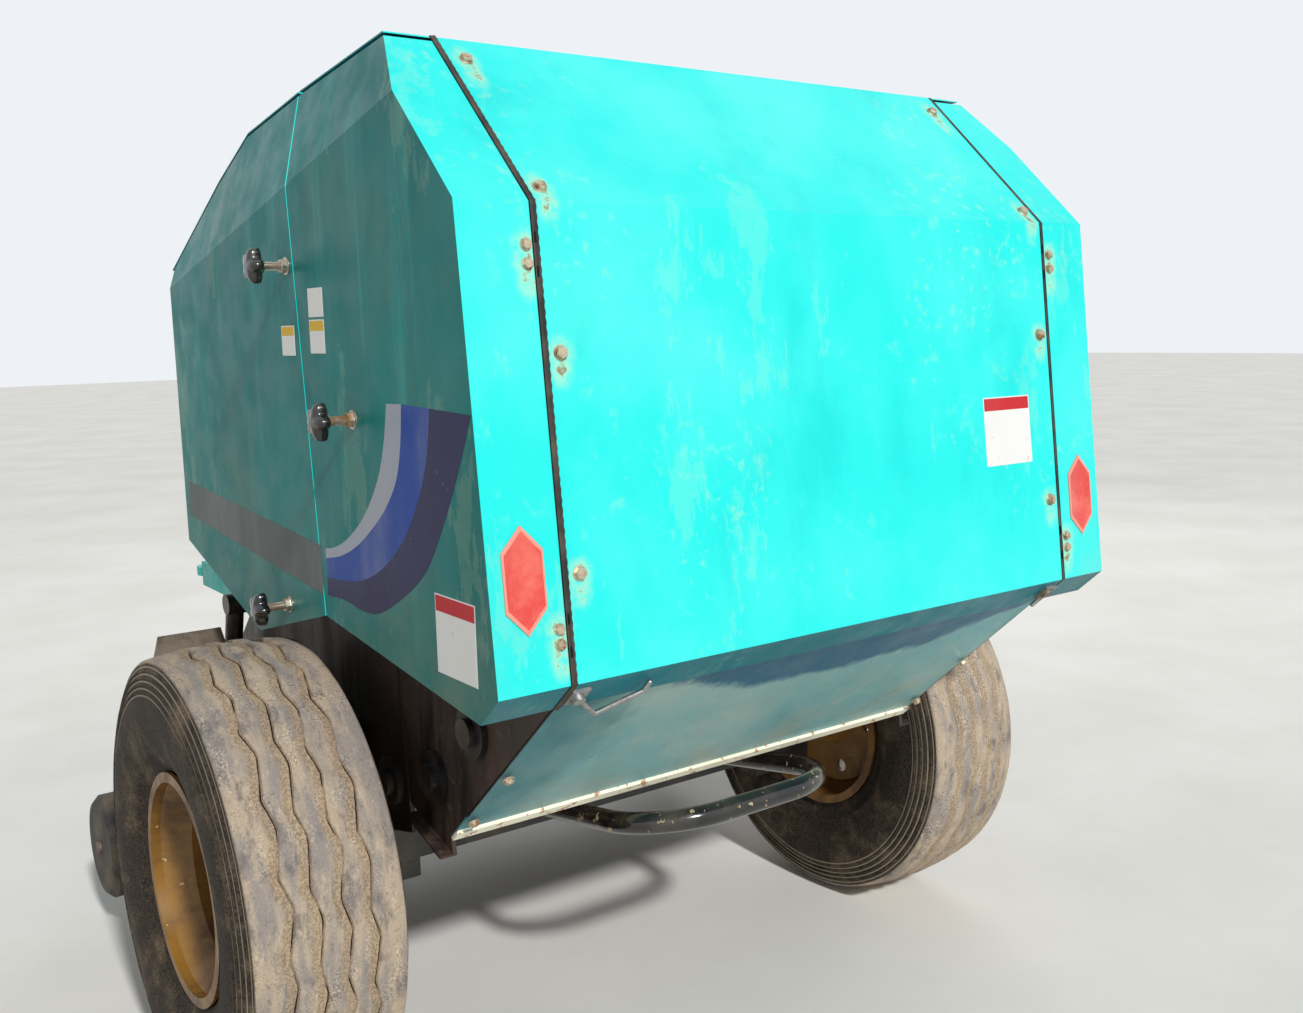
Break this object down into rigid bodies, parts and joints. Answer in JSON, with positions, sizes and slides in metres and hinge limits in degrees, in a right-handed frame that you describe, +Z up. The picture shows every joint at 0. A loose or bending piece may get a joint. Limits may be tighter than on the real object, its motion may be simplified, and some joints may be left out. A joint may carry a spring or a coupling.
{
  "type": "round baler",
  "caption": "Towed round baler with an opening tail gate, hinged side covers, a wide pick-up, net box, drawbar with jack, and two wheels.",
  "frame": {"origin": "centre of the machine's base: on the ground, halfway between its rearmost and foremost points, in the mid plane", "axes": "+X forward towards the tractor, +Y to the left, +Z up"},
  "size_m": [3.4759, 1.7962, 1.806],
  "materials": {
    "teal_paint": "semi-gloss enamel",
    "cream_paint": "worn enamel",
    "gold_paint": "enamel",
    "black_paint": "gloss enamel",
    "wall_paint": "stained enamel",
    "roller_steel": "worn by crop",
    "bare_steel": "plated",
    "worn_sheet": "worn paint",
    "rod_chrome": "polished",
    "tyre_rubber": "dusty",
    "wheel_rubber": "matt",
    "black_plastic": "gloss",
    "guard_plastic": "matt",
    "red_plastic": "reflector"
  },
  "bodies": {
    "frame": {"axle": "black_paint", "channel_floor": "roller_steel", "cross_tubes": "black_paint", "drawbar": "teal_paint", "drive_chains": "roller_steel", "frame_wall_left": "wall_paint", "frame_wall_right": "wall_paint", "front_bearings": "black_paint", "front_hood": "teal_paint", "front_panel": "teal_paint", "front_rollers": "roller_steel", "gearbox": "black_paint", "input_guard": "guard_plastic", "jack_housing": "teal_paint", "net_box": "teal_paint", "tail_bow": "black_paint"},
    "gate": {"gate_bearings": "black_paint", "gate_frame": "black_paint", "gate_rollers": "roller_steel", "gate_roof": "teal_paint", "gate_wall_left": "wall_paint", "gate_wall_right": "wall_paint", "lower_band": "cream_paint", "lower_panel": "teal_paint", "panel_latches": "bare_steel", "rear_panel": "teal_paint"},
    "wheel_left_body": {"tyre_left": "tyre_rubber", "wheel_left": "gold_paint"},
    "wheel_right_body": {"tyre_right": "tyre_rubber", "wheel_right": "gold_paint"},
    "gate_cover_left_body": {"gate_cover_left": "teal_paint", "gate_knob_left": "black_plastic", "reflector_left": "red_plastic"},
    "gate_cover_right_body": {"gate_cover_right": "teal_paint", "gate_knob_right": "black_plastic", "reflector_right": "red_plastic"},
    "side_door_left_body": {"side_door_left": "teal_paint", "door_knobs_left": "black_plastic"},
    "side_door_right_body": {"side_door_right": "teal_paint", "door_knobs_right": "black_plastic"},
    "gate_barrel_left_body": {"gate_barrel_left": "black_paint"},
    "gate_barrel_right_body": {"gate_barrel_right": "black_paint"},
    "gate_rod_left_body": {"gate_rod_left": "rod_chrome"},
    "gate_rod_right_body": {"gate_rod_right": "rod_chrome"},
    "jack_leg_body": {"jack_leg": "bare_steel"},
    "pickup": {"pickup_frame": "worn_sheet", "pickup_bands": "bare_steel"},
    "pickup_reel_body": {"pickup_reel": "roller_steel"},
    "gauge_wheel_left_body": {"gauge_wheel_left": "wheel_rubber"},
    "gauge_wheel_right_body": {"gauge_wheel_right": "wheel_rubber"},
    "wind_guard_body": {"wind_guard": "black_paint"},
    "net_lid_body": {"net_lid": "teal_paint"},
    "feed_rotor_body": {"feed_rotor": "roller_steel"},
    "lift_barrel_body": {"lift_barrel": "black_paint"},
    "lift_rod_body": {"lift_rod": "rod_chrome"}
  },
  "joints": [
    {"name": "wheel_left_turn", "type": "hinge", "parent": "frame", "child": "wheel_left_body", "pos_m": [-0.954, 0.754, 0.418], "axis": [0, 1, 0], "continuous": true},
    {"name": "wheel_right_turn", "type": "hinge", "parent": "frame", "child": "wheel_right_body", "pos_m": [-0.954, -0.754, 0.418], "axis": [0, 1, 0], "continuous": true},
    {"name": "gate_hinge", "type": "hinge", "parent": "frame", "child": "gate", "pos_m": [-1.034, 0, 1.788], "axis": [0, 1, 0], "range_deg": [0, 65]},
    {"name": "gate_cover_left_hinge", "type": "hinge", "parent": "gate", "child": "gate_cover_left_body", "pos_m": [-1.72961, 0.537, 0.963], "axis": [0.1009, 0, 0.9949], "range_deg": [0, 90]},
    {"name": "gate_cover_right_hinge", "type": "hinge", "parent": "gate", "child": "gate_cover_right_body", "pos_m": [-1.72961, -0.537, 0.963], "axis": [0.1009, 0, 0.9949], "range_deg": [-90, 0]},
    {"name": "side_door_left_hinge", "type": "hinge", "parent": "frame", "child": "side_door_left_body", "pos_m": [-0.392, 0.641, 1.01], "axis": [0, 0, 1], "range_deg": [-95, 0]},
    {"name": "side_door_right_hinge", "type": "hinge", "parent": "frame", "child": "side_door_right_body", "pos_m": [-0.392, -0.641, 1.01], "axis": [0, 0, 1], "range_deg": [0, 95]},
    {"name": "gate_barrel_left_hinge", "type": "hinge", "parent": "frame", "child": "gate_barrel_left_body", "pos_m": [-0.914, 0.592, 0.884], "axis": [0, 1, 0], "range_deg": [0, 1.83]},
    {"name": "gate_rod_left_slide", "type": "slide", "parent": "gate_barrel_left_body", "child": "gate_rod_left_body", "axis": [-0.4622, 0, 0.8868], "range_m": [0, 0.3798]},
    {"name": "gate_barrel_right_hinge", "type": "hinge", "parent": "frame", "child": "gate_barrel_right_body", "pos_m": [-0.914, -0.592, 0.884], "axis": [0, 1, 0], "range_deg": [0, 1.83]},
    {"name": "gate_rod_right_slide", "type": "slide", "parent": "gate_barrel_right_body", "child": "gate_rod_right_body", "axis": [-0.4622, 0, 0.8868], "range_m": [0, 0.3798]},
    {"name": "jack_leg_slide", "type": "slide", "parent": "frame", "child": "jack_leg_body", "axis": [0, 0, 1], "range_m": [0, 0.3]},
    {"name": "pickup_hinge", "type": "hinge", "parent": "frame", "child": "pickup", "pos_m": [-0.494, 0, 0.56], "axis": [0, 1, 0], "range_deg": [0, 18]},
    {"name": "pickup_reel_turn", "type": "hinge", "parent": "pickup", "child": "pickup_reel_body", "pos_m": [-0.264, 0, 0.322], "axis": [0, 1, 0], "continuous": true},
    {"name": "gauge_wheel_left_turn", "type": "hinge", "parent": "pickup", "child": "gauge_wheel_left_body", "pos_m": [-0.154, 0.808, 0.222], "axis": [0, 1, 0], "continuous": true},
    {"name": "gauge_wheel_right_turn", "type": "hinge", "parent": "pickup", "child": "gauge_wheel_right_body", "pos_m": [-0.154, -0.808, 0.222], "axis": [0, 1, 0], "continuous": true},
    {"name": "wind_guard_hinge", "type": "hinge", "parent": "frame", "child": "wind_guard_body", "pos_m": [-0.314, 0, 0.655], "axis": [0, 1, 0], "range_deg": [-15, 0]},
    {"name": "feed_rotor_turn", "type": "hinge", "parent": "frame", "child": "feed_rotor_body", "pos_m": [-0.633, 0, 0.62], "axis": [0, 1, 0], "continuous": true},
    {"name": "net_lid_hinge", "type": "hinge", "parent": "frame", "child": "net_lid_body", "pos_m": [-0.332, 0, 1.478], "axis": [0, 1, 0], "range_deg": [-95, 0]},
    {"name": "lift_barrel_hinge", "type": "hinge", "parent": "frame", "child": "lift_barrel_body", "pos_m": [-0.426, 0.578, 0.8], "axis": [0, 1, 0], "range_deg": [0, 5.72]},
    {"name": "lift_rod_slide", "type": "slide", "parent": "lift_barrel_body", "child": "lift_rod_body", "axis": [0.2873, 0, -0.9578], "range_m": [0, 0.041]}
  ],
  "couplings": [
    {"joint": "gate_barrel_left_hinge", "follows": "gate_hinge", "ratio": 0.025117},
    {"joint": "gate_rod_left_slide", "follows": "gate_hinge", "m_per_rad": 0.33299},
    {"joint": "gate_barrel_right_hinge", "follows": "gate_hinge", "ratio": 0.025117},
    {"joint": "gate_rod_right_slide", "follows": "gate_hinge", "m_per_rad": 0.33299},
    {"joint": "lift_barrel_hinge", "follows": "pickup_hinge", "ratio": 0.30697},
    {"joint": "lift_rod_slide", "follows": "pickup_hinge", "m_per_rad": 0.12403}
  ]
}
